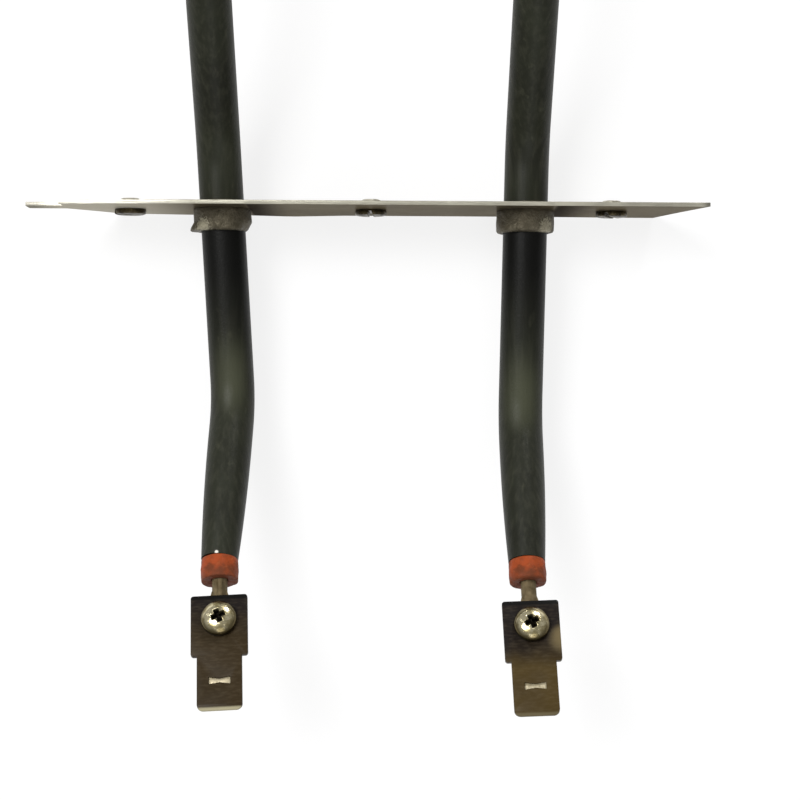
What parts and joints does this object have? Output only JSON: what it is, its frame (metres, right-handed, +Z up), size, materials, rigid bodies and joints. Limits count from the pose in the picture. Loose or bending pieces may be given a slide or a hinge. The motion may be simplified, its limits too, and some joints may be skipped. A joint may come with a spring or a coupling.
{
  "type": "tubular heating element",
  "caption": "Bent hairpin of sheathed heating tube on a thin mounting plate, with swaged, sealed ends and push-on tabs screwed to its pins.",
  "frame": {"origin": "middle of the plate's seat face, midway along its row of screws and level with it", "axes": "+Y out of the seat face towards the heated loop, +X towards the plate's slanted end, +Z up, the side with the tab screws' heads"},
  "size_m": [0.099, 0.2723, 0.0301],
  "materials": {
    "sheath": "dark olive oxide, satin",
    "packed_powder": "matt pressed powder",
    "coil_wire": "drawn wire",
    "plate_sheet": "cold rolled sheet, sheared edges",
    "pin_steel": "nickel plated, satin",
    "seal_rubber": "matt silicone rubber",
    "tab_metal": "dull plated sheet",
    "screw_metal": "bright plated",
    "collar_steel": "rough pressed steel",
    "plate_screw_metal": "plated, dull"
  },
  "bodies": {
    "root": {"sheath_tube": "sheath", "insulation_fill": "packed_powder", "resistance_coil": "coil_wire", "mounting_plate": "plate_sheet", "terminal_pin_left": "pin_steel", "end_seal_left": "seal_rubber", "tab_left": "tab_metal", "tab_screw_left": "screw_metal", "tab_nut_left": "screw_metal", "collar_left": "collar_steel", "terminal_pin_right": "pin_steel", "end_seal_right": "seal_rubber", "tab_right": "tab_metal", "tab_screw_right": "screw_metal", "tab_nut_right": "screw_metal", "collar_right": "collar_steel", "plate_screw_left": "plate_screw_metal", "plate_screw_middle": "plate_screw_metal", "plate_screw_right": "plate_screw_metal"}
  },
  "joints": []
}
